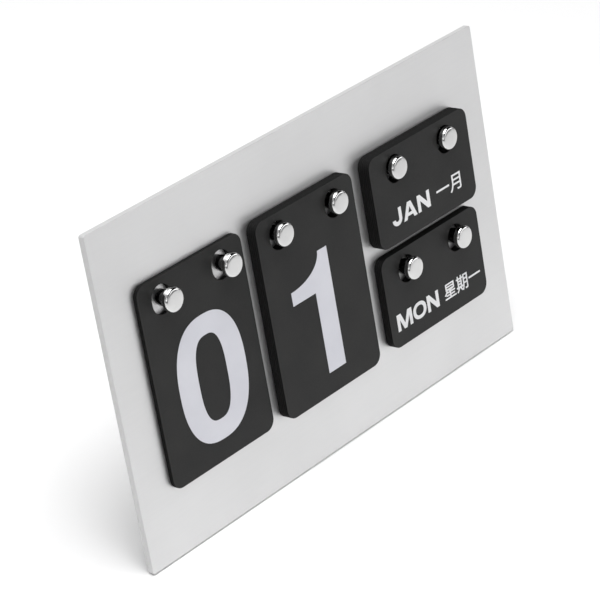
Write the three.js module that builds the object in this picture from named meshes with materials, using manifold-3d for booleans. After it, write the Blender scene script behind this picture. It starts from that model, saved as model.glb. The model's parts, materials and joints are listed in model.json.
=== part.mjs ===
// Flip desk calendar: a leaning aluminium plate whose front carries four stacks of
// double-sided cards on eight domed posts. At the back a strip with two keyholes hangs
// it on a wall, and a plug-in rod bail props it on a table.
//
// Units are millimetres, +Z is up, +X runs along the plate and +Y points to the rear.
// The plate and everything on it sits in one group that leans back. In that group +Z
// runs up the plate, +Y leaves its rear face, and the rear face's bottom edge is z = 0.

import * as THREE from 'three';
import { mergeVertices } from 'three/addons/utils/BufferGeometryUtils.js';
import Module from 'manifold-3d';

const wasm = await Module();
wasm.setup();

// ---------- driving dimensions ----------

const GAP = 0.3;
const LEAN = THREE.MathUtils.degToRad(14.26);

const PLATE = { width: 250, height: 151, thickness: 3, cornerRadius: 1.2 };

const POST = {
  pitch: 36,
  belowCardTop: 9,
  barrelRadius: 3.6,
  headRadius: 5.25,
  headBack: 7.2,
  headThickness: 3,
  headChamfer: 0.4,
  headRound: { start: 1.1, middle: 0.45, crownInset: 1.4, crownRise: 0.12 },
  tailRadius: 2,
  tailLength: 2,
  noseRadius: 1.8,
  noseLength: 1.4,
};

const CARD = { thickness: 0.75, pitch: 1.05, cornerRadius: 5, holeRadius: 5.55, holeDrop: 1.65 };

// Each stack: name, number of double-sided cards, centre across the plate, lowest edge.
const LARGE_CARD = { width: 63, height: 91 };
const SMALL_CARD = { width: 69.5, height: 43.2 };
const STACKS = [
  { name: 'tens', cards: 2, card: LARGE_CARD, centre: -74.75, bottom: 29.5 },
  { name: 'ones', cards: 5, card: LARGE_CARD, centre: -6, bottom: 29.5 },
  { name: 'month', cards: 6, card: SMALL_CARD, centre: 70.75, bottom: 77.3 },
  { name: 'weekday', cards: 4, card: SMALL_CARD, centre: 70.75, bottom: 29.5 },
];

const RAIL = { width: 167.4, bottom: 116.5, height: 30.1, thickness: 1.5, standOff: 5.5, cornerRadius: 0.8 };
const KEYHOLE = { offset: 51.7, centre: 124.5, radius: 4, slotRadius: 2, slotCentre: 132.5 };
const SPACER = { offset: 30, centre: 128, radius: 4, tailRadius: 1.8, tailLength: 1.5 };

const SOCKET = {
  offset: 63,
  centre: 22,
  radius: 4.75,
  height: 5.5,
  chamfer: 0.5,
  spigotRadius: 4.1,
  spigotLength: 1.2,
};
const ROD = { radius: 2.75, kink: 25, footBehind: 41.5, depthInPlate: 1.9, bend: 8 };
const ROD_CLEARANCE = 0.35;

// Facets of a turned piece, and of each quarter or half circle in an outline.
const ROUND = 20;
const SMALL_ROUND = 14;
const OUTLINE_STEPS = { plate: 2, card: 4, rail: 5, rod: 5 };
const ROD_STEPS = 72;

// ---------- materials ----------

const aluminium = () => new THREE.MeshStandardMaterial({ color: 0xd2d2d2, roughness: 0.38, metalness: 1 });
const chrome = () => new THREE.MeshStandardMaterial({ color: 0xdcdcde, roughness: 0.08, metalness: 1 });
const blackPlastic = () => new THREE.MeshStandardMaterial({ color: 0x323232, roughness: 0.6, metalness: 0 });

// ---------- helpers ----------

// A closed three.js geometry as a solid that can be cut.
function toSolid(geometry) {
  const bare = geometry.clone();
  bare.deleteAttribute('normal');
  bare.deleteAttribute('uv');
  const merged = mergeVertices(bare, 1e-4);
  const vertProperties = new Float32Array(merged.attributes.position.array);
  const triVerts = new Uint32Array(merged.index.array);
  return new wasm.Manifold(new wasm.Mesh({ numProp: 3, vertProperties, triVerts }));
}

function toGeometry(solid) {
  const mesh = solid.getMesh();
  const geometry = new THREE.BufferGeometry();
  geometry.setAttribute('position', new THREE.BufferAttribute(mesh.vertProperties, 3));
  geometry.setIndex(new THREE.BufferAttribute(mesh.triVerts, 1));
  geometry.computeVertexNormals();
  return geometry;
}

// An outline drawn as across/up, given a thickness that runs from y = 0 towards the front.
function sheet(shape, thickness, curveSegments) {
  const geometry = new THREE.ExtrudeGeometry(shape, { depth: thickness, bevelEnabled: false, curveSegments });
  geometry.rotateX(Math.PI / 2);
  return geometry;
}

// A turned piece: its profile is [radius, height] and its axis runs along +Y.
function turned(profile, segments) {
  return new THREE.LatheGeometry(profile.map(([r, h]) => new THREE.Vector2(r, h)), segments);
}

function drill(radius, depth, segments) {
  return new THREE.CylinderGeometry(radius, radius, depth, segments);
}

function roundedRectangle(width, height, radius) {
  const x = width / 2;
  const y = height / 2;
  const shape = new THREE.Shape();
  shape.absarc(x - radius, y - radius, radius, 0, Math.PI / 2);
  shape.absarc(-x + radius, y - radius, radius, Math.PI / 2, Math.PI);
  shape.absarc(-x + radius, -y + radius, radius, Math.PI, Math.PI * 1.5);
  shape.absarc(x - radius, -y + radius, radius, Math.PI * 1.5, Math.PI * 2);
  return shape;
}

function place(parent, name, geometry, material, x, y, z) {
  const mesh = new THREE.Mesh(geometry, material);
  mesh.name = name;
  mesh.position.set(x, y, z);
  parent.add(mesh);
  return mesh;
}

const FRONT = -PLATE.thickness;

// The two post positions of a stack, as across/up points on the plate.
function postPoints(stack) {
  const up = stack.bottom + stack.card.height - POST.belowCardTop;
  return [-1, 1].map((side) => [stack.centre + (side * POST.pitch) / 2, up]);
}

// ---------- back plate ----------

function backPlate() {
  const outline = roundedRectangle(PLATE.width, PLATE.height, PLATE.cornerRadius);
  const blank = sheet(outline, PLATE.thickness, OUTLINE_STEPS.plate);
  blank.translate(0, 0, PLATE.height / 2);
  let solid = toSolid(blank);
  const cut = (radius, depth, x, y, z) => {
    const tool = drill(radius, depth, SMALL_ROUND);
    tool.translate(x, y, z);
    solid = solid.subtract(toSolid(tool));
  };
  // Blind holes are cut by tools that are twice the hole's depth and centred on the face.
  const postHole = 2 * (POST.tailLength + GAP);
  for (const stack of STACKS) {
    for (const [x, z] of postPoints(stack)) cut(POST.tailRadius + GAP, postHole, x, FRONT, z);
  }
  for (const side of [-1, 1]) {
    cut(SPACER.tailRadius + GAP, 2 * (SPACER.tailLength + GAP), side * SPACER.offset, 0, SPACER.centre);
    cut(SOCKET.spigotRadius + GAP, 2 * (SOCKET.spigotLength + GAP), side * SOCKET.offset, 0, SOCKET.centre);
    cut(ROD.radius + ROD_CLEARANCE, 2 * (ROD.depthInPlate + GAP), side * SOCKET.offset, 0, SOCKET.centre);
  }
  return toGeometry(solid);
}

// ---------- posts ----------

// Heights are measured forwards from the plate's front face.
function postBarrel() {
  const shoulder = POST.headBack - GAP;
  return turned([
    [0, -POST.tailLength],
    [POST.tailRadius, -POST.tailLength],
    [POST.tailRadius, GAP],
    [POST.barrelRadius, GAP],
    [POST.barrelRadius, shoulder],
    [POST.noseRadius, shoulder],
    [POST.noseRadius, shoulder + POST.noseLength],
    [0, shoulder + POST.noseLength],
  ], SMALL_ROUND);
}

function postHead() {
  const back = POST.headBack;
  const front = back + POST.headThickness;
  const bore = POST.noseRadius + GAP;
  const boreEnd = back + POST.noseLength;
  const rim = POST.headRadius;
  const { start, middle, crownInset, crownRise } = POST.headRound;
  return turned([
    [0, boreEnd],
    [bore, boreEnd],
    [bore, back],
    [rim - POST.headChamfer, back],
    [rim, back + POST.headChamfer],
    [rim, front - start],
    [rim - middle, front - middle],
    [rim - crownInset, front - crownRise],
    [0, front],
  ], ROUND);
}

// ---------- cards ----------

// A card is centred on its outline, and its rear face is y = 0. Each hole is taller than it
// is wide: its round top is centred on the post, so the head passes straight through it.
function cardBlank({ width, height }) {
  const shape = roundedRectangle(width, height, CARD.cornerRadius);
  const top = height / 2 - POST.belowCardTop;
  for (const side of [-1, 1]) {
    const x = (side * POST.pitch) / 2;
    const hole = new THREE.Path();
    hole.absarc(x, top, CARD.holeRadius, 0, Math.PI);
    hole.absarc(x, top - CARD.holeDrop, CARD.holeRadius, Math.PI, Math.PI * 2);
    shape.holes.push(hole);
  }
  return sheet(shape, CARD.thickness, OUTLINE_STEPS.card);
}

// ---------- hanging strip ----------

function hangingRail() {
  const shape = roundedRectangle(RAIL.width, RAIL.height, RAIL.cornerRadius);
  const middle = RAIL.bottom + RAIL.height / 2;
  const neck = Math.asin(KEYHOLE.slotRadius / KEYHOLE.radius);
  for (const side of [-1, 1]) {
    const x = side * KEYHOLE.offset;
    const keyhole = new THREE.Path();
    const round = KEYHOLE.centre - middle;
    keyhole.absarc(x, round, KEYHOLE.radius, Math.PI / 2 + neck, Math.PI * 2.5 - neck);
    keyhole.absarc(x, KEYHOLE.slotCentre - middle, KEYHOLE.slotRadius, 0, Math.PI);
    shape.holes.push(keyhole);
  }
  return sheet(shape, RAIL.thickness, OUTLINE_STEPS.rail);
}

function railSpacer() {
  return turned([
    [0, -SPACER.tailLength],
    [SPACER.tailRadius, -SPACER.tailLength],
    [SPACER.tailRadius, GAP],
    [SPACER.radius, GAP],
    [SPACER.radius, RAIL.standOff - GAP],
    [0, RAIL.standOff - GAP],
  ], SMALL_ROUND);
}

// ---------- bail ----------

// The collar is an open tube with a spigot that sits in the plate.
function bailSocket() {
  const bore = ROD.radius + ROD_CLEARANCE;
  return turned([
    [bore, -SOCKET.spigotLength],
    [SOCKET.spigotRadius, -SOCKET.spigotLength],
    [SOCKET.spigotRadius, GAP],
    [SOCKET.radius, GAP],
    [SOCKET.radius, SOCKET.height - SOCKET.chamfer],
    [SOCKET.radius - SOCKET.chamfer, SOCKET.height],
    [bore, SOCKET.height],
    [bore, -SOCKET.spigotLength],
  ], ROUND);
}

// A polyline with each inner corner rounded off over the given length.
function roundedRoute(points, cutBack) {
  const route = new THREE.CurvePath();
  let from = points[0];
  for (let i = 1; i < points.length - 1; i += 1) {
    const corner = points[i];
    const before = corner.clone().add(points[i - 1].clone().sub(corner).setLength(cutBack));
    const after = corner.clone().add(points[i + 1].clone().sub(corner).setLength(cutBack));
    route.add(new THREE.LineCurve3(from, before));
    route.add(new THREE.QuadraticBezierCurve3(before, corner, after));
    from = after;
  }
  route.add(new THREE.LineCurve3(from, points[points.length - 1]));
  return route;
}

// The foot's centre line lies one rod radius above the table, footBehind to the rear.
function bailRod() {
  const footUp = ROD.footBehind * Math.sin(LEAN) + ROD.radius * Math.cos(LEAN);
  const footOut = ROD.footBehind * Math.cos(LEAN) - ROD.radius * Math.sin(LEAN);
  const leg = (side) => [
    new THREE.Vector3(side * SOCKET.offset, -ROD.depthInPlate, SOCKET.centre),
    new THREE.Vector3(side * SOCKET.offset, ROD.kink, SOCKET.centre),
    new THREE.Vector3(side * SOCKET.offset, footOut, footUp),
  ];
  const route = roundedRoute([...leg(-1), ...leg(1).reverse()], ROD.bend);
  const section = new THREE.Shape();
  section.absarc(0, 0, ROD.radius, 0, Math.PI * 2);
  return new THREE.ExtrudeGeometry(section, {
    extrudePath: route,
    steps: ROD_STEPS,
    curveSegments: OUTLINE_STEPS.rod,
  });
}

// ---------- assembly ----------

const leaning = new THREE.Group();
leaning.rotation.x = -LEAN;

place(leaning, 'back_plate', backPlate(), aluminium(), 0, 0, 0);

for (const stack of STACKS) {
  postPoints(stack).forEach(([x, z], i) => {
    const side = i === 0 ? 'left' : 'right';
    const barrel = place(leaning, `${stack.name}_post_${side}`, postBarrel(), chrome(), x, FRONT, z);
    const head = place(leaning, `${stack.name}_post_head_${side}`, postHead(), chrome(), x, FRONT, z);
    barrel.rotation.z = Math.PI;
    head.rotation.z = Math.PI;
  });
  const middle = stack.bottom + stack.card.height / 2;
  for (let i = 0; i < stack.cards; i += 1) {
    // Card 1 is the one in front, and the last lies against the plate.
    const rear = FRONT - GAP - i * CARD.pitch;
    const name = `${stack.name}_card_${stack.cards - i}`;
    place(leaning, name, cardBlank(stack.card), blackPlastic(), stack.centre, rear, middle);
  }
}

const railRear = RAIL.standOff + RAIL.thickness;
place(leaning, 'hanging_rail', hangingRail(), aluminium(), 0, railRear, RAIL.bottom + RAIL.height / 2);
place(leaning, 'bail_rod', bailRod(), chrome(), 0, 0, 0);
for (const [side, label] of [[-1, 'left'], [1, 'right']]) {
  place(leaning, `rail_spacer_${label}`, railSpacer(), aluminium(), side * SPACER.offset, 0, SPACER.centre);
  place(leaning, `bail_socket_${label}`, bailSocket(), chrome(), side * SOCKET.offset, 0, SOCKET.centre);
}

// The origin is under the middle of the whole object, at table height.
const calendar = new THREE.Group();
calendar.add(leaning);
calendar.updateMatrixWorld(true);
const box = new THREE.Box3().setFromObject(calendar, true);
leaning.position.set(-(box.min.x + box.max.x) / 2, -(box.min.y + box.max.y) / 2, -box.min.z);

export default calendar;
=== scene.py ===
"""Looks of the flip desk calendar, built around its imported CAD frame.

Every piece is made along the leaning plate's own axes: x runs across it, y leaves its rear face and z
runs up it from the rear face's bottom edge. LEANING carries a finished piece into the frame, in metres.
"""

import json
import math

import bmesh
import bpy
from mathutils import Matrix, Vector

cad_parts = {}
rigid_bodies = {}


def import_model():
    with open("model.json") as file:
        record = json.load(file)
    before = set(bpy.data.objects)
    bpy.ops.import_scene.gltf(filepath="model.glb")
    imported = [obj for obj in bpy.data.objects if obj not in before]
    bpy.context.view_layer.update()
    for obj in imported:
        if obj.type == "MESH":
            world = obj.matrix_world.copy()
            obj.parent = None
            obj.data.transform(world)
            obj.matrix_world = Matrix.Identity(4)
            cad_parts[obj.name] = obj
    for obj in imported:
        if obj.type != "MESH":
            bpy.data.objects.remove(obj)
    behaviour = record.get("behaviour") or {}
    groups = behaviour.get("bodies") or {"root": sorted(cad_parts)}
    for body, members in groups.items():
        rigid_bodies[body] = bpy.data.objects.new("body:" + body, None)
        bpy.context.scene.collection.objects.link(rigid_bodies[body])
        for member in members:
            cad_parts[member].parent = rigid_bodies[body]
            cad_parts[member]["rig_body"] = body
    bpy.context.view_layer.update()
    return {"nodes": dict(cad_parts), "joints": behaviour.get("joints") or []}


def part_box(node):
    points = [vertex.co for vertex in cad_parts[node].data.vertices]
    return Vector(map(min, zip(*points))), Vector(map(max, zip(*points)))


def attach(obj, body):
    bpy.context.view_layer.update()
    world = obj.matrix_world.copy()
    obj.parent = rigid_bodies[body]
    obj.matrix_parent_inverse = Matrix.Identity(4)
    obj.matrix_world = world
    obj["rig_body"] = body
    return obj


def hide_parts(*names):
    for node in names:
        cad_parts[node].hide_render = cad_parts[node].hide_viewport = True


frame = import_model()

# ---------- driving dimensions ----------

MM = 0.001

PLATE_CORNER = 1.2 * MM
PLATE_EDGE = 0.3 * MM

CARD_THICKNESS = 0.95 * MM
CARD_CORNER = 5 * MM
CARD_EDGE = 0.14 * MM
HOLE_RADIUS = 5.55 * MM
HOLE_DROP = 1.65 * MM
INK = 0.03 * MM
INK_EDGE = INK / 4

# The front of a post head is a dome HEAD_CROWN high. At FLANK_REACH of the head's radius it is
# FLANK_CROWN of that height below its top.
HEAD_ROUND = 1.15 * MM
HEAD_CROWN = 0.25 * MM
HEAD_DOME = 6 * MM
FLANK_REACH = 0.6
FLANK_CROWN = 0.3
TURNED_EDGE = 0.3 * MM
POST_TAIL_RADIUS = 2 * MM
SPACER_TAIL_RADIUS = 1.8 * MM

RAIL_CORNER = 0.8 * MM
RAIL_EDGE = 0.18 * MM
KEYHOLE_OFFSET = 51.7 * MM
KEYHOLE_UP = 8 * MM
KEYHOLE_RADIUS = 4 * MM
SLOT_RADIUS = 2 * MM
SLOT_RISE = 8 * MM
# Edge faces this near the strip's middle, across it and up it, are the walls of its keyholes.
KEYHOLE_REACH = Vector((59.7 * MM, 14 * MM))

SOCKET_BORE = 3.1 * MM
SOCKET_EDGE = 0.6 * MM
SOCKET_LIP = 0.35 * MM
SOCKET_SHOULDER = 0.65 * MM
ROD_RADIUS = 2.75 * MM
ROD_KINK = 25 * MM
ROD_BEND = 8 * MM

# Facets of full circles, and steps of arcs and rounded corners.
POCKET_FACETS = 48
BARREL_FACETS = 40
HEAD_FACETS = 56
COLLAR_FACETS = 56
ROD_FACETS = 40
OUTLINE_FACETS = 72
PLATE_CORNER_STEPS = 6
CARD_CORNER_STEPS = 10
CARD_HOLE_STEPS = 20
RAIL_CORNER_STEPS = 5
KEYHOLE_STEPS = 32
SLOT_STEPS = 14
TURNED_STEPS = 5
ROD_STEPS = 14

# ---------- the leaning plate's axes ----------

JOINTS = {joint["name"]: joint for joint in frame["joints"]}
ACROSS = Vector((1, 0, 0))
REAR = Vector(JOINTS["bail_pull"]["axis"]).normalized()
UP = ACROSS.cross(REAR)
LEANING = Matrix((ACROSS, REAR, UP)).transposed().to_4x4()


def extents(node):
    """The lowest and highest corner of a CAD node along the leaning plate's axes."""
    to_plate = LEANING.inverted()
    points = [to_plate @ vertex.co for vertex in frame["nodes"][node].data.vertices]
    return Vector(map(min, zip(*points))), Vector(map(max, zip(*points)))


def middle(node):
    low, high = extents(node)
    return (low + high) / 2


low, high = extents("back_plate")
LEANING.translation = LEANING @ Vector((0, high.y, low.z))
PLATE_LOW, PLATE_HIGH = extents("back_plate")

# ---------- lines and outlines ----------


def arc(centre, radius, start, end, steps):
    """Points on a circle, from one angle in degrees to another."""
    angles = [math.radians(start + (end - start) * i / steps) for i in range(steps + 1)]
    across, up = centre
    return [Vector((across + radius * math.cos(a), up + radius * math.sin(a))) for a in angles]


def corner_arc(before, corner, after, radius, steps):
    """A true arc that rounds off the corner between two straight stretches."""
    if radius == 0:
        return [corner]
    back = (before - corner).normalized()
    on = (after - corner).normalized()
    half = back.angle(on) / 2
    centre = corner + (back + on).normalized() * radius / math.sin(half)
    first = corner + back * radius / math.tan(half) - centre
    last = corner + on * radius / math.tan(half) - centre
    turn = math.pi - 2 * half
    points = []
    for i in range(steps + 1):
        share = i / steps
        arm = first * math.sin((1 - share) * turn) + last * math.sin(share * turn)
        points.append(centre + arm / math.sin(turn))
    return points


def rounded_line(points, radii, steps):
    """An open line whose inner corners are rounded, with one radius for each of them."""
    line = [points[0]]
    for before, corner, after, radius in zip(points, points[1:], points[2:], radii):
        line += corner_arc(before, corner, after, radius, steps)
    return line + [points[-1]]


def rounded_rectangle(width, height, radius, steps):
    x, z = width / 2, height / 2
    corners = [Vector(c) for c in ((x, -z), (x, z), (-x, z), (-x, -z))]
    loop = []
    for i, corner in enumerate(corners):
        loop += corner_arc(corners[i - 1], corner, corners[(i + 1) % 4], radius, steps)
    return loop


def inset_loop(loop, inset):
    """A closed outline moved into its material, which lies on its left."""
    moved = []
    for before, here, after in zip(loop[-1:] + loop[:-1], loop, loop[1:] + loop[:1]):
        arriving = (here - before).normalized()
        leaving = (after - here).normalized()
        mitre = Vector((-arriving.y - leaving.y, arriving.x + leaving.x)).normalized()
        stretch = mitre.dot(Vector((-arriving.y, arriving.x)))
        moved.append(here + mitre * inset / stretch)
    return moved


# ---------- solids ----------


def edge_loop(mesh, ring):
    pairs = zip(ring, ring[1:] + ring[:1])
    return [mesh.edges.get(pair) or mesh.edges.new(pair) for pair in pairs]


def bridge(mesh, lower, upper):
    """Faces between two rings, either of which may be a single point."""
    count = max(len(lower), len(upper))
    for i in range(count):
        corners = [lower[i % len(lower)], lower[(i + 1) % len(lower)]]
        corners += [upper[(i + 1) % len(upper)], upper[i % len(upper)]]
        mesh.faces.new(dict.fromkeys(corners))


def slab(loops, front, rear, edge, pockets=()):
    """A sheet from y = front to y = rear whose edges are rounded over by the length edge.
    The outline runs anticlockwise and its holes clockwise. A pocket is (centre, radius, depth) and
    is sunk into the rear face."""
    mesh = bmesh.new()
    eased = edge * (1 - math.cos(math.pi / 4))
    section = [(edge, rear), (eased, rear - eased), (0, rear - edge)]
    section += [(0, front + edge), (eased, front + eased), (edge, front)]
    rear_rim, front_rim = [], []
    for loop in loops:
        rings = []
        for inset, y in section:
            rings.append([mesh.verts.new((p.x, y, p.y)) for p in inset_loop(loop, inset)])
        for lower, upper in zip(rings, rings[1:]):
            bridge(mesh, lower, upper)
        rear_rim += edge_loop(mesh, rings[0])
        front_rim += edge_loop(mesh, rings[-1])
    for centre, radius, depth in pockets:
        circle = arc(centre, radius, 0, -360, POCKET_FACETS)[:-1]
        mouth = [mesh.verts.new((p.x, rear, p.y)) for p in circle]
        bottom = [mesh.verts.new((p.x, rear - depth, p.y)) for p in circle]
        rear_rim += edge_loop(mesh, mouth)
        bridge(mesh, mouth, bottom)
        mesh.faces.new(bottom)
    for rim in (rear_rim, front_rim):
        bmesh.ops.triangle_fill(mesh, use_beauty=True, edges=rim, normal=(0, 1, 0))
    return mesh


def turned(profile, segments, is_tube=False):
    """A turned piece about the y axis from (radius, y) points. A tube's profile is a closed loop."""
    mesh = bmesh.new()
    rings = []
    for radius, y in profile:
        if radius == 0:
            rings.append([mesh.verts.new((0, y, 0))])
            continue
        circle = arc((0, 0), radius, 0, 360, segments)[:-1]
        rings.append([mesh.verts.new((p.x, y, p.y)) for p in circle])
    if is_tube:
        rings.append(rings[0])
    for lower, upper in zip(rings, rings[1:]):
        bridge(mesh, lower, upper)
    return mesh


def swept(route, radius, chamfer, segments):
    """A round rod along a route, with chamfered ends."""
    first, last = (route[1] - route[0]).normalized(), (route[-1] - route[-2]).normalized()
    stations = [route[0], route[0] + first * chamfer] + route[1:-1]
    stations += [route[-1] - last * chamfer, route[-1]]
    radii = [radius - chamfer] + [radius] * (len(stations) - 2) + [radius - chamfer]
    mesh = bmesh.new()
    rings = []
    heading, side = first, first.orthogonal().normalized()
    for i, (station, reach) in enumerate(zip(stations, radii)):
        ahead = stations[min(i + 1, len(stations) - 1)] - stations[max(i - 1, 0)]
        side = heading.rotation_difference(ahead.normalized()) @ side
        heading = ahead.normalized()
        other = heading.cross(side)
        circle = arc((0, 0), reach, 0, 360, segments)[:-1]
        rings.append([mesh.verts.new(station + side * p.x + other * p.y) for p in circle])
    for lower, upper in zip(rings, rings[1:]):
        bridge(mesh, lower, upper)
    mesh.faces.new(rings[0])
    mesh.faces.new(rings[-1])
    return mesh


def joined(meshes):
    """Several closed solids as one mesh."""
    whole = meshes[0]
    for mesh in meshes[1:]:
        data = bpy.data.meshes.new("joined")
        mesh.to_mesh(data)
        mesh.free()
        whole.from_mesh(data)
        bpy.data.meshes.remove(data)
    return whole


# ---------- finished pieces ----------

# Faces that meet at more than this angle keep a sharp edge.
SHARP = math.radians(50)


def add_piece(name, mesh, place, finishes, body_node, stands_for=(), pick=None):
    """One visible piece: its smoothed mesh and finishes, on the body of a CAD node.
    Where there are several finishes, pick says which of them a face takes."""
    bmesh.ops.recalc_face_normals(mesh, faces=mesh.faces)
    if pick:
        for face in mesh.faces:
            face.material_index = int(pick(face))
    bmesh.ops.transform(mesh, matrix=LEANING @ Matrix.Translation(place), verts=mesh.verts)
    data = bpy.data.meshes.new(name)
    mesh.to_mesh(data)
    mesh.free()
    data.shade_smooth()
    data.set_sharp_from_angle(angle=SHARP)
    for finish in finishes:
        data.materials.append(finish)
    piece = bpy.data.objects.new(name, data)
    bpy.context.scene.collection.objects.link(piece)
    shading = piece.modifiers.new("flat faces stay flat", "WEIGHTED_NORMAL")
    shading.keep_sharp = True
    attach(piece, frame["nodes"][body_node]["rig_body"])
    if stands_for:
        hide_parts(*stands_for)
    return piece


# ---------- materials ----------

# Nearly all values of a noise texture lie within this range.
NOISE_RANGE = 0.3, 0.7


def grey(shade, blue=0):
    """An even grey, with its blue raised by the given amount."""
    return shade, shade, shade + blue


class Finish:
    """A new material with its nodes, and short calls to wire textures into its one shader."""

    def __init__(self, name, **sockets):
        self.material = bpy.data.materials.new(name)
        self.material.use_nodes = True
        self.tree = self.material.node_tree
        self.shader = self.tree.nodes["Principled BSDF"]
        for socket, value in sockets.items():
            self.shader.inputs[socket.replace("_", " ")].default_value = value
        self.place = self.tree.nodes.new("ShaderNodeTexCoord").outputs["Object"]

    def link(self, source, target):
        self.tree.links.new(source, target)

    def noise(self, scale, stretch=(1, 1, 1), detail=3, roughness=0.5):
        """Noise with scale grains to a metre, drawn out by stretch along the plate's own axes."""
        mapping = self.tree.nodes.new("ShaderNodeMapping")
        mapping.vector_type = "TEXTURE"
        mapping.inputs["Rotation"].default_value = LEANING.to_euler()
        mapping.inputs["Scale"].default_value = stretch
        self.link(self.place, mapping.inputs["Vector"])
        noise = self.tree.nodes.new("ShaderNodeTexNoise")
        noise.inputs["Scale"].default_value = scale
        noise.inputs["Detail"].default_value = detail
        noise.inputs["Roughness"].default_value = roughness
        self.link(mapping.outputs["Vector"], noise.inputs["Vector"])
        return noise.outputs["Fac"]

    def spread(self, source, low, high):
        """The usual range of noise values spread over the range low to high."""
        node = self.tree.nodes.new("ShaderNodeMapRange")
        start, end = NOISE_RANGE
        limits = {"From Min": start, "From Max": end, "To Min": low, "To Max": high}
        for socket, value in limits.items():
            node.inputs[socket].default_value = value
        self.link(source, node.inputs["Value"])
        return node.outputs["Result"]

    def colour(self, source, dark, light):
        """The base colour, from dark to light as the noise rises."""
        ramp = self.tree.nodes.new("ShaderNodeValToRGB")
        for stop, position, shade in zip(ramp.color_ramp.elements, NOISE_RANGE, (dark, light)):
            stop.position = position
            stop.color = (*shade, 1)
        self.link(source, ramp.inputs["Fac"])
        self.link(ramp.outputs["Color"], self.shader.inputs["Base Color"])

    def roughness(self, source, low, high):
        self.link(self.spread(source, low, high), self.shader.inputs["Roughness"])

    def bump(self, *layers):
        """Bumps from (noise, height in metres) layers, laid over each other."""
        normal = None
        for source, height in layers:
            node = self.tree.nodes.new("ShaderNodeBump")
            node.inputs["Strength"].default_value = 1
            node.inputs["Distance"].default_value = height
            self.link(source, node.inputs["Height"])
            if normal:
                self.link(normal, node.inputs["Normal"])
            normal = node.outputs["Normal"]
        self.link(normal, self.shader.inputs["Normal"])


def satin_aluminium(name, dark, light, grain, smooth, rough):
    """Satin sheet: fine drawn grain along x, fine pits, and a faint drift in its colour."""
    finish = Finish(name, Metallic=1)
    drawn = finish.noise(grain, stretch=(30, 1, 1), detail=4, roughness=0.65)
    pitted = finish.noise(5200, detail=1)
    bloom = finish.noise(22, detail=2)
    finish.colour(bloom, dark, light)
    finish.roughness(drawn, smooth, rough)
    finish.bump((drawn, 0.0012 * MM), (pitted, 0.0008 * MM))
    return finish.material


def chrome(name, dark, light, smooth=0.03, rough=0.075):
    """Bright plating with faint polishing swirls and handling haze."""
    finish = Finish(name, Metallic=1)
    haze = finish.noise(160, detail=4, roughness=0.6)
    swirl = finish.noise(900, stretch=(1, 5, 1), detail=2)
    finish.colour(haze, dark, light)
    finish.roughness(haze, smooth, rough)
    finish.bump((swirl, 0.0012 * MM))
    return finish.material


def sheared_edge():
    """The plate's cut edges: dull and light, with the shear's lines across the sheet."""
    finish = Finish("plate_edge", Metallic=1)
    lines = finish.noise(2200, stretch=(1, 20, 1), detail=3)
    finish.colour(lines, grey(0.69), grey(0.75))
    finish.roughness(lines, 0.78, 0.92)
    finish.bump((lines, 0.006 * MM))
    return finish.material


def mill_skin():
    """The strip's unpolished side, by the plate: a dull grey oxide skin with rolling lines."""
    finish = Finish("rail_mill_skin", Metallic=0.15)
    rolled = finish.noise(1200, stretch=(40, 1, 1), detail=3)
    finish.colour(rolled, grey(0.28), grey(0.34))
    finish.roughness(rolled, 0.7, 0.85)
    finish.bump((rolled, 0.002 * MM))
    return finish.material


def punched_metal():
    """The wall of a punched keyhole: dull, with drag marks through the sheet, and coloured near black
    as painted shade for the dark gap seen through the keyholes.
    """
    finish = Finish("rail_keyhole_painted_shade", Metallic=1)
    drag = finish.noise(2500, stretch=(1, 10, 1), detail=2)
    # Near black is painted shade standing in for the shaded gap behind the strip, not the metal's own
    # colour; the drag marks and dullness are real.
    finish.colour(drag, grey(0.08), grey(0.17))
    finish.roughness(drag, 0.4, 0.6)
    finish.bump((drag, 0.012 * MM))
    return finish.material


def card_black():
    """Matt black plastic sheet with the fine leathery grain of rolled stock."""
    finish = Finish("card_black", Specular_IOR_Level=0.23)
    grain = finish.noise(2600, detail=3, roughness=0.6)
    drift = finish.noise(45, detail=3)
    finish.colour(drift, grey(0.009), grey(0.014, -0.0005))
    finish.roughness(grain, 0.44, 0.58)
    finish.bump((grain, 0.012 * MM))
    return finish.material


def card_edge():
    """The punched edge of a card: dull, with the die's drag marks across the sheet."""
    finish = Finish("card_edge", Specular_IOR_Level=0.12)
    drag = finish.noise(3000, stretch=(1, 12, 1), detail=2)
    finish.colour(drag, grey(0.003), grey(0.007))
    finish.roughness(drag, 0.6, 0.8)
    finish.bump((drag, 0.01 * MM))
    return finish.material


def screen_print(name, dark, light):
    """Thick white screen print with the mesh's fine unevenness."""
    finish = Finish(name, Specular_IOR_Level=0.4)
    mesh_marks = finish.noise(3400, detail=2)
    drift = finish.noise(60, detail=3)
    finish.colour(drift, dark, light)
    finish.roughness(mesh_marks, 0.5, 0.62)
    finish.bump((mesh_marks, 0.006 * MM))
    return finish.material


PLATE_FRONT = satin_aluminium(
    "plate_aluminium", grey(0.64, 0.002), grey(0.67, 0.002), grain=1500, smooth=0.42, rough=0.5
)
PLATE_REAR = satin_aluminium(
    "plate_aluminium_rear", grey(0.585, 0.002), grey(0.615, 0.002), grain=1500, smooth=0.29, rough=0.35
)
PLATE_CUT = sheared_edge()
RAIL_FINISH = satin_aluminium(
    "rail_aluminium", grey(0.57), grey(0.6), grain=1900, smooth=0.26, rough=0.33
)
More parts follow.
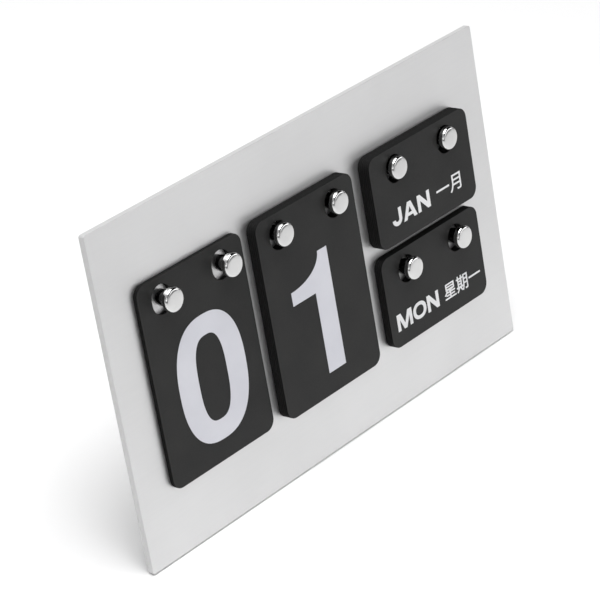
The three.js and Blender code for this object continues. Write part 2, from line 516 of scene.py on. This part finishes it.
# Painted shade: the keyholes' walls are coloured near black so the keyholes look as dark as the shaded
# gap behind the strip.
KEYHOLE_WALL_SHADE = punched_metal()
MILL_SKIN = mill_skin()
CHROME = chrome("chrome", grey(0.6), grey(0.66, -0.005))
COLLAR_CHROME = chrome("chrome_collar", grey(0.8), grey(0.86, -0.005), smooth=0.2, rough=0.27)
ROD_CHROME = chrome("chrome_rod", (0.64, 0.61, 0.575), (0.71, 0.68, 0.64))
CARD_BLACK = card_black()
CARD_EDGE_FINISH = card_edge()
DIGIT_PRINT = screen_print("card_print_digits", (0.56, 0.563, 0.61), (0.61, 0.612, 0.655))
WORD_PRINT = screen_print("card_print_words", grey(0.68, 0.01), grey(0.74, 0.005))

# A face is an edge where its normal has less than EDGE_LIMIT of its length along y. A face of the
# strip looks at the plate where its normal's y is below INWARD_LIMIT.
EDGE_LIMIT = 0.5
INWARD_LIMIT = -0.7


def is_edge(face):
    return abs(face.normal.y) < EDGE_LIMIT


def plate_face(face):
    """0 for the plate's front, 1 for its rear and 2 for its edges."""
    if is_edge(face):
        return 2
    return 1 if face.normal.y > 0 else 0


def strip_face(face):
    """0 for the outside of the hanging strip, 1 for a keyhole's wall, 2 for the side by the plate."""
    if face.normal.y < INWARD_LIMIT:
        return 2
    centre = face.calc_center_median()
    by_keyhole = abs(centre.x) < KEYHOLE_REACH.x and abs(centre.z) < KEYHOLE_REACH.y
    return 1 if is_edge(face) and by_keyhole else 0


# ---------- back plate ----------

SIDES = {"left": -1, "right": 1}


def add_back_plate():
    """The plate, with the two blind holes that show when the bail is pulled out of its sockets."""
    size = PLATE_HIGH - PLATE_LOW
    outline = rounded_rectangle(size.x, size.z, PLATE_CORNER, PLATE_CORNER_STEPS)
    outline = [p + Vector((0, size.z / 2)) for p in outline]
    depth = -extents("bail_rod")[0].y
    pockets = []
    for side in SIDES:
        socket = middle(f"bail_socket_{side}")
        pockets.append(((socket.x, socket.z), SOCKET_BORE, depth))
    mesh = slab([outline], -size.y, 0, PLATE_EDGE, pockets)
    finishes = [PLATE_FRONT, PLATE_REAR, PLATE_CUT]
    node = "back_plate"
    add_piece(f"{node}_sheet", mesh, Vector(), finishes, node, [node], plate_face)


# ---------- posts ----------


def eased_turning(corners, radii):
    """A turned profile of (radius, y) corners, with a rounding radius for each inner one."""
    line = rounded_line([Vector(corner) for corner in corners], radii, TURNED_STEPS)
    return [tuple(point) for point in line]


def add_post(stack, side):
    """A plain barrel out of the plate, and the low round head on its end."""
    barrel, head = f"{stack}_post_{side}", f"{stack}_post_head_{side}"
    low, high = extents(barrel)
    head_low, head_high = extents(head)
    centre = Vector(((low.x + high.x) / 2, 0, (low.z + high.z) / 2))
    radius = (high.x - low.x) / 2
    tail, face, shoulder = high.y, PLATE_LOW.y, head_high.y
    corners = [
        (0, tail),
        (POST_TAIL_RADIUS, tail),
        (POST_TAIL_RADIUS, face),
        (radius, face),
        (radius, shoulder),
        (0, shoulder),
    ]
    turning = turned(eased_turning(corners, [TURNED_EDGE, 0, 0, 0]), BARREL_FACETS)
    add_piece(f"{barrel}_barrel", turning, centre, [CHROME], barrel, [barrel])

    reach = (head_high.x - head_low.x) / 2
    front = head_low.y
    corners = [
        (0, shoulder),
        (reach, shoulder),
        (reach, front + HEAD_CROWN),
        (reach * FLANK_REACH, front + HEAD_CROWN * FLANK_CROWN),
        (0, front),
    ]
    turning = turned(eased_turning(corners, [TURNED_EDGE, HEAD_ROUND, HEAD_DOME]), HEAD_FACETS)
    add_piece(f"{head}_cap", turning, centre, [CHROME], head, [head])


# ---------- what is printed on the cards ----------

DIGIT_HEIGHT = 57 * MM
DIGIT_WIDTH = 38 * MM
DIGIT_DROP = 8 * MM
ZERO = {
    "width": 40.4 * MM,
    "height": 56.6 * MM,
    "side": 11.6 * MM,
    "cap": 9.1 * MM,
    "across": 1.65 * MM,
    "outer_power": 2.45,
    "inner_power": 2.8,
}
ONE = {
    "stem": 11.2 * MM,
    "across": 3.4 * MM,
    "height": 55.4 * MM,
    "flag": 14.7 * MM,
    "flag_under": 17.5 * MM,
    "tip": 6.2 * MM,
    "notch": 5.1 * MM,
    "curve_steps": 12,
}
BLOCK_LETTERS = set("JANMO")
BLOCK_STROKE = 0.235
BLOCK_SPACING = 0.1
WORD_WEIGHT = 0.02
DIGIT_WEIGHT = 0.022
IDEOGRAM_WEIGHT = 0.012
# Letters of the built-in typeface are one unit high, and their depth only gives them two sides.
LETTER_STEPS = 5
LETTER_DEPTH = 0.5
LETTER_WELD = 1e-5
IDEOGRAM_WIDTH = 8.9 * MM
WORD_HEIGHT = 8 * MM
MONTH_LINE = {"left": -24.7 * MM, "right": 2.1 * MM, "second": 7 * MM, "base": -13.9 * MM}
WEEKDAY_LINE = {"left": -29.9 * MM, "right": 0.1 * MM, "second": 4.3 * MM, "base": -14.4 * MM}

MONTHS = ["JAN", "FEB", "MAR", "APR", "MAY", "JUN", "JUL", "AUG", "SEP", "OCT", "NOV", "DEC"]
WEEKDAYS = ["MON", "TUE", "WED", "THU", "FRI", "SAT", "SUN"]
NUMERALS = ["一", "二", "三", "四", "五", "六", "七", "八", "九", "十", "十一", "十二"]
MONTH_SIGN = "月"
WEEK_SIGN = "星期"
SUNDAY_SIGN = "日"
DIGIT_STACKS = "tens", "ones"


def superellipse(across, up, half_width, half_height, power, turn):
    """A squared-off ellipse, anticlockwise where turn is 1 and clockwise where it is -1."""
    points = []
    for i in range(OUTLINE_FACETS):
        angle = turn * math.tau * i / OUTLINE_FACETS
        x = math.copysign(abs(math.cos(angle)) ** (2 / power), math.cos(angle))
        z = math.copysign(abs(math.sin(angle)) ** (2 / power), math.sin(angle))
        points.append(Vector((across + half_width * x, up + half_height * z)))
    return points


def zero_print():
    half_width, half_height = ZERO["width"] / 2, ZERO["height"] / 2
    across, up = ZERO["across"], -DIGIT_DROP
    outer = superellipse(across, up, half_width, half_height, ZERO["outer_power"], 1)
    half_width -= ZERO["side"]
    half_height -= ZERO["cap"]
    inner = superellipse(across, up, half_width, half_height, ZERO["inner_power"], -1)
    return slab([outer, inner], -INK, 0, INK_EDGE)


def one_print():
    """A straight stem with a square-ended flag, whose top edge curves up to the stem's head."""
    left, right = ONE["across"] - ONE["stem"] / 2, ONE["across"] + ONE["stem"] / 2
    foot = -DIGIT_DROP - ONE["height"] / 2
    head = foot + ONE["height"]
    under = head - ONE["flag_under"]
    tip = left - ONE["flag"]
    reach = left + ONE["notch"] - tip
    rise = ONE["flag_under"] - ONE["tip"]
    outline = [Vector((tip, under)), Vector((left, under)), Vector((left, foot)), Vector((right, foot))]
    outline.append(Vector((right, head)))
    for i in range(ONE["curve_steps"] + 1):
        angle = math.pi / 2 * i / ONE["curve_steps"]
        outline.append(Vector((tip + reach * math.cos(angle), head - rise * math.sin(angle))))
    return slab([outline], -INK, 0, INK_EDGE)


def lettering(text, weight, left, right, base, top):
    """Letters of Blender's built-in typeface, thickened by weight and fitted to a box on a card."""
    curve = bpy.data.curves.new("lettering", "FONT")
    curve.body = text
    curve.offset = weight
    curve.extrude = LETTER_DEPTH
    curve.resolution_u = LETTER_STEPS
    holder = bpy.data.objects.new("lettering", curve)
    flat = bpy.data.meshes.new_from_object(holder)
    bpy.data.objects.remove(holder)
    bpy.data.curves.remove(curve)
    mesh = bmesh.new()
    mesh.from_mesh(flat)
    bpy.data.meshes.remove(flat)
    bmesh.ops.remove_doubles(mesh, verts=mesh.verts, dist=LETTER_WELD)
    low = [min(vertex.co[axis] for vertex in mesh.verts) for axis in (0, 1)]
    high = [max(vertex.co[axis] for vertex in mesh.verts) for axis in (0, 1)]
    for vertex in mesh.verts:
        across = (vertex.co.x - low[0]) / (high[0] - low[0])
        up = (vertex.co.y - low[1]) / (high[1] - low[1])
        y = -INK if vertex.co.z > 0 else 0
        vertex.co = (left + (right - left) * across, y, base + (top - base) * up)
    return mesh


def block_letter(letter):
    """A heavy upright letter, one unit high: its width, its outer loop and its holes."""
    s = BLOCK_STROKE
    if letter == "J":
        w, r, inner_steps, outer_steps = 0.76, 0.38, 14, 20
        hook = arc((r, r), r - s, 0, -180, inner_steps) + arc((r, r), r, -180, 0, outer_steps)
        return w, [[Vector((w, 1)), Vector((w - s, 1)), *hook]]
    if letter == "A":
        w, foot, lean, flat, bar = 1.08, 0.255, 0.395, 0.145, (0.19, 0.37)
        left = [(0, 0), (foot, 0), (foot + lean * bar[0], bar[0])]
        right = [(w - x, y) for x, y in reversed(left)]
        outer = [*left, *right, (w / 2 + flat, 1), (w / 2 - flat, 1)]
        corner = foot + lean * bar[1]
        hole = [(corner, bar[1]), (w / 2, (w / 2 - foot) / lean), (w - corner, bar[1])]
        return w, [[Vector(p) for p in outer], [Vector(p) for p in hole]]
    if letter == "N":
        w, rise = 1.0, 0.62
        outer = [(0, 0), (s, 0), (s, rise), (w - s, 0), (w, 0)]
        outer += [(w, 1), (w - s, 1), (w - s, 1 - rise), (s, 1), (0, 1)]
        return w, [[Vector(p) for p in outer]]
    if letter == "M":
        w, rise, tip, dip, shoulder = 1.26, 0.64, 0.11, 0.32, 1.45 * s
        outer = [(0, 0), (s, 0), (s, rise), (w / 2 - tip, 0)]
        outer += [(w / 2 + tip, 0), (w - s, rise), (w - s, 0)]
        outer += [(w, 0), (w, 1), (w - shoulder, 1), (w / 2, dip), (shoulder, 1), (0, 1)]
        return w, [[Vector(p) for p in outer]]
    w, cap, outer_power, inner_power = 1.12, 0.88 * s, 2.2, 2.3
    outer = superellipse(w / 2, 0.5, w / 2, 0.5, outer_power, 1)
    hole = superellipse(w / 2, 0.5, w / 2 - s, 0.5 - cap, inner_power, -1)
    return w, [outer, hole]


def block_word(word, left, right, base, top):
    """Heavy letters fitted side by side into a box on the card."""
    letters = [block_letter(letter) for letter in word]
    total = sum(width for width, _ in letters) + BLOCK_SPACING * (len(word) - 1)
    across, up = (right - left) / total, top - base
    meshes, start = [], 0
    for width, loops in letters:
        fitted = []
        for loop in loops:
            fitted.append([Vector((left + (start + p.x) * across, base + p.y * up)) for p in loop])
        meshes.append(slab(fitted, -INK, 0, INK_EDGE))
        start += width + BLOCK_SPACING
    return joined(meshes)


def digit_print(digit):
    if digit == 0:
        return zero_print()
    if digit == 1:
        return one_print()
    half = DIGIT_WIDTH / 2
    base = -DIGIT_DROP - DIGIT_HEIGHT / 2
    return lettering(str(digit), DIGIT_WEIGHT, -half, half, base, base + DIGIT_HEIGHT)


def line_print(word, ideograms, line):
    """A word and its Chinese form, side by side on one line."""
    base, top = line["base"], line["base"] + WORD_HEIGHT
    if set(word) <= BLOCK_LETTERS:
        first = block_word(word, line["left"], line["right"], base, top)
    else:
        first = lettering(word, WORD_WEIGHT, line["left"], line["right"], base, top)
    end = line["second"] + IDEOGRAM_WIDTH * len(ideograms)
    return joined([first, lettering(ideograms, IDEOGRAM_WEIGHT, line["second"], end, base, top)])


def print_of(stack, face):
    """What is printed on a stack's face, counted from the front of its first card, or None."""
    if stack in DIGIT_STACKS:
        return digit_print((face + (stack == "ones")) % 10)
    if stack == "month":
        return line_print(MONTHS[face], NUMERALS[face] + MONTH_SIGN, MONTH_LINE)
    if face >= len(WEEKDAYS):
        return None
    day = SUNDAY_SIGN if WEEKDAYS[face] == "SUN" else NUMERALS[face]
    return line_print(WEEKDAYS[face], WEEK_SIGN + day, WEEKDAY_LINE)


# ---------- cards ----------


def add_card(stack, number):
    """A die-cut card with its two hanging holes, and the print on its front and its rear."""
    node = f"{stack}_card_{number}"
    low, high = extents(node)
    centre = (low + high) / 2
    outline = rounded_rectangle(high.x - low.x, high.z - low.z, CARD_CORNER, CARD_CORNER_STEPS)
    holes = []
    for side in SIDES:
        post = middle(f"{stack}_post_{side}") - centre
        top = arc((post.x, post.z), HOLE_RADIUS, 180, 0, CARD_HOLE_STEPS)
        bottom = arc((post.x, post.z - HOLE_DROP), HOLE_RADIUS, 0, -180, CARD_HOLE_STEPS)
        holes.append(top + bottom)
    half = CARD_THICKNESS / 2
    mesh = slab([outline, *holes], -half, half, CARD_EDGE)
    finishes = [CARD_BLACK, CARD_EDGE_FINISH]
    add_piece(f"{node}_blank", mesh, centre, finishes, node, [node], is_edge)
    for face, label, turn in ((0, "front", 0), (1, "rear", math.pi)):
        ink = print_of(stack, 2 * (number - 1) + face)
        if ink is None:
            continue
        out = half if face else -half
        bmesh.ops.transform(ink, matrix=Matrix.Rotation(turn, 4, "Z"), verts=ink.verts)
        place = centre + Vector((0, out, 0))
        finish = DIGIT_PRINT if stack in DIGIT_STACKS else WORD_PRINT
        add_piece(f"{node}_{label}_print", ink, place, [finish], node)


# ---------- hanging strip ----------


def add_rail():
    """The strip with its two keyholes, and the spacers that hold it off the plate."""
    low, high = extents("hanging_rail")
    centre = (low + high) / 2
    outline = rounded_rectangle(high.x - low.x, high.z - low.z, RAIL_CORNER, RAIL_CORNER_STEPS)
    neck = math.degrees(math.asin(SLOT_RADIUS / KEYHOLE_RADIUS))
    holes = []
    for side in SIDES.values():
        x, z = side * KEYHOLE_OFFSET, low.z + KEYHOLE_UP - centre.z
        slot = arc((x, z + SLOT_RISE), SLOT_RADIUS, 180, 0, SLOT_STEPS)
        head = arc((x, z), KEYHOLE_RADIUS, 90 - neck, neck - 270, KEYHOLE_STEPS)
        holes.append(slot + head)
    half = (high.y - low.y) / 2
    mesh = slab([outline, *holes], -half, half, RAIL_EDGE)
    node = "hanging_rail"
    # The second finish, for the keyhole walls, is near-black painted shade.
    finishes = [RAIL_FINISH, KEYHOLE_WALL_SHADE, MILL_SKIN]
    slot = "rail_aluminium"
    add_piece(f"{node}_strip", mesh, centre, finishes, node, [node], strip_face)
    for side in SIDES:
        node = f"rail_spacer_{side}"
        low, high = extents(node)
        centre = (low + high) / 2
        radius = (high.x - low.x) / 2
        corners = [
            (0, low.y),
            (SPACER_TAIL_RADIUS, low.y),
            (SPACER_TAIL_RADIUS, 0),
            (radius, 0),
            (radius, high.y),
            (0, high.y),
        ]
        turning = turned(eased_turning(corners, [TURNED_EDGE, 0, 0, TURNED_EDGE]), BARREL_FACETS)
        place = Vector((centre.x, 0, centre.z))
        add_piece(f"{node}_stud", turning, place, [RAIL_FINISH], node, [node])


# ---------- bail ----------


def add_socket(side):
    """A bored collar, with the narrower spigot that sits in the plate."""
    node = f"bail_socket_{side}"
    low, high = extents(node)
    radius = (high.x - low.x) / 2
    spigot = radius - SOCKET_SHOULDER
    corners = [
        (SOCKET_BORE, low.y),
        (spigot, low.y),
        (spigot, 0),
        (radius, 0),
        (radius, high.y),
        (SOCKET_BORE, high.y),
        (SOCKET_BORE, low.y + SOCKET_LIP),
    ]
    profile = eased_turning(corners, [0, 0, 0, SOCKET_EDGE, SOCKET_LIP])
    mesh = turned(profile, COLLAR_FACETS, is_tube=True)
    place = Vector(((low.x + high.x) / 2, 0, (low.z + high.z) / 2))
    add_piece(f"{node}_collar", mesh, place, [COLLAR_CHROME], node, [node])


def add_rod():
    """The bent rod: out of the sockets, down to the table at the kinks, and across as the foot."""
    to_plate = LEANING.inverted()
    box_low, box_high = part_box("bail_rod")
    foot = to_plate @ Vector((0, box_high.y - ROD_RADIUS, box_low.z + ROD_RADIUS))
    start = extents("bail_rod")[0].y
    corners = []
    for side, order in (("left", 1), ("right", -1)):
        socket = middle(f"bail_socket_{side}")
        leg = [
            Vector((socket.x, start, socket.z)),
            Vector((socket.x, ROD_KINK, socket.z)),
            Vector((socket.x, foot.y, foot.z)),
        ]
        corners += leg[::order]
    kink = (corners[0] - corners[1]).angle(corners[2] - corners[1])
    kink_bend = ROD_BEND * math.tan(kink / 2)
    route = rounded_line(corners, [kink_bend, ROD_BEND, ROD_BEND, kink_bend], ROD_STEPS)
    mesh = swept(route, ROD_RADIUS, TURNED_EDGE, ROD_FACETS)
    add_piece("bail_rod_wire", mesh, Vector(), [ROD_CHROME], "bail_rod", ["bail_rod"])


# ---------- assembly ----------

CARDS = {"tens": 2, "ones": 5, "month": 6, "weekday": 4}

add_back_plate()
for stack, count in CARDS.items():
    for side in SIDES:
        add_post(stack, side)
    for number in range(1, count + 1):
        add_card(stack, number)
add_rail()
for side in SIDES:
    add_socket(side)
add_rod()

# ---------- floor, light and camera ----------

FLOOR_HALF = 30
FLOOR_COLOUR = 0.86
FLOOR_DRIFT = 0.01

# The surroundings are two layers that add up. Each is a direction, and brightnesses by the cosine
# of the angle from it. The walls are grey at the horizon, bright just above it and dark higher up,
# and the bright ceiling leans to the left.
WALLS = (0, 0, 1), ((0, 0.35), (0.05, 0.3), (0.18, 0.9), (0.3, 0.9), (0.38, 0.015), (1, 0.015))
CEILING = (-0.38, -0.12, 0.92), ((0, 0), (0.74, 0), (0.84, 0.6), (1, 0.65))
STUDIO_STRENGTH = 0.8
STUDIO_BLUE = 1.01

LIGHTS_AIM = Vector((0, 0, 0.06))

# The camera's angles are in degrees. Its place is in plate widths from the middle of the plate's
# front bottom edge: right, up and back along the camera's own axes, before it rolls.
CAMERA_AZIMUTH = -51.17
CAMERA_ELEVATION = 32.28
CAMERA_ROLL = -1.93
CAMERA_SHIFT = Vector((-0.09, 0.25, 4.722))
CAMERA_SENSOR = 36
CAMERA_LENS = 161.2


def add_floor():
    mesh = bmesh.new()
    bmesh.ops.create_grid(mesh, x_segments=1, y_segments=1, size=FLOOR_HALF)
    data = bpy.data.meshes.new("floor")
    mesh.to_mesh(data)
    mesh.free()
    floor = bpy.data.objects.new("floor", data)
    bpy.context.scene.collection.objects.link(floor)
    finish = Finish("floor", Roughness=0.9)
    shade = finish.noise(3, detail=2)
    finish.colour(shade, grey(FLOOR_COLOUR), grey(FLOOR_COLOUR + FLOOR_DRIFT))
    data.materials.append(finish.material)


def add_world():
    """A studio's surroundings: the walls and the ceiling."""
    world = bpy.data.worlds.new("studio")
    world.use_nodes = True
    bpy.context.scene.world = world
    nodes, links = world.node_tree.nodes, world.node_tree.links
    place = nodes.new("ShaderNodeTexCoord").outputs["Generated"]
    total = nodes.new("ShaderNodeVectorMath")
    for layer, (toward, stops) in enumerate((WALLS, CEILING)):
        along = nodes.new("ShaderNodeVectorMath")
        along.operation = "DOT_PRODUCT"
        along.inputs[1].default_value = Vector(toward).normalized()
        ramp = nodes.new("ShaderNodeValToRGB")
        elements = ramp.color_ramp.elements
        while len(elements) < len(stops):
            elements.new(0.5)
        for element, (position, shade) in zip(elements, stops):
            element.position = position
            element.color = (shade, shade, shade * STUDIO_BLUE, 1)
        links.new(place, along.inputs[0])
        links.new(along.outputs["Value"], ramp.inputs["Fac"])
        links.new(ramp.outputs["Color"], total.inputs[layer])
    links.new(total.outputs["Vector"], nodes["Background"].inputs["Color"])
    nodes["Background"].inputs["Strength"].default_value = STUDIO_STRENGTH


def add_softbox(name, place, size, power):
    """A rectangular area light that faces the object."""
    data = bpy.data.lights.new(name, "AREA")
    data.shape = "RECTANGLE"
    data.size, data.size_y = size
    data.energy = power
    light = bpy.data.objects.new(name, data)
    bpy.context.scene.collection.objects.link(light)
    light.location = place
    aim = LIGHTS_AIM - light.location
    light.rotation_mode = "QUATERNION"
    light.rotation_quaternion = aim.to_track_quat("-Z", "Y")


def add_camera():
    """A camera at the photograph's viewpoint."""
    azimuth, elevation = math.radians(CAMERA_AZIMUTH), math.radians(CAMERA_ELEVATION)
    roll = math.radians(CAMERA_ROLL)
    flat = math.cos(elevation)
    right = Vector((math.cos(azimuth), math.sin(azimuth), 0))
    back = Vector((math.sin(azimuth) * flat, -math.cos(azimuth) * flat, math.sin(elevation)))
    above = back.cross(right)
    shift = CAMERA_SHIFT * (PLATE_HIGH.x - PLATE_LOW.x)
    front_edge = LEANING @ Vector((0, PLATE_LOW.y, 0))
    data = bpy.data.cameras.new("camera")
    data.sensor_width = CAMERA_SENSOR
    data.lens = CAMERA_LENS
    camera = bpy.data.objects.new("camera", data)
    bpy.context.scene.collection.objects.link(camera)
    image_right = right * math.cos(roll) - above * math.sin(roll)
    image_up = right * math.sin(roll) + above * math.cos(roll)
    turn = Matrix((image_right, image_up, back)).transposed().to_4x4()
    place = front_edge + right * shift.x + above * shift.y + back * shift.z
    camera.matrix_world = Matrix.Translation(place) @ turn
    bpy.context.scene.camera = camera


add_floor()
add_world()
add_softbox("overhead", place=(-0.12, -0.06, 1.5), size=(1.2, 1.2), power=28)
add_softbox("left_fill", place=(-1.3, -1.0, 0.8), size=(1, 0.7), power=2.5)
add_softbox("right_fill", place=(1.2, -1.35, 0.45), size=(1.2, 0.5), power=4)
add_camera()
bpy.context.scene.view_settings.view_transform = "Standard"
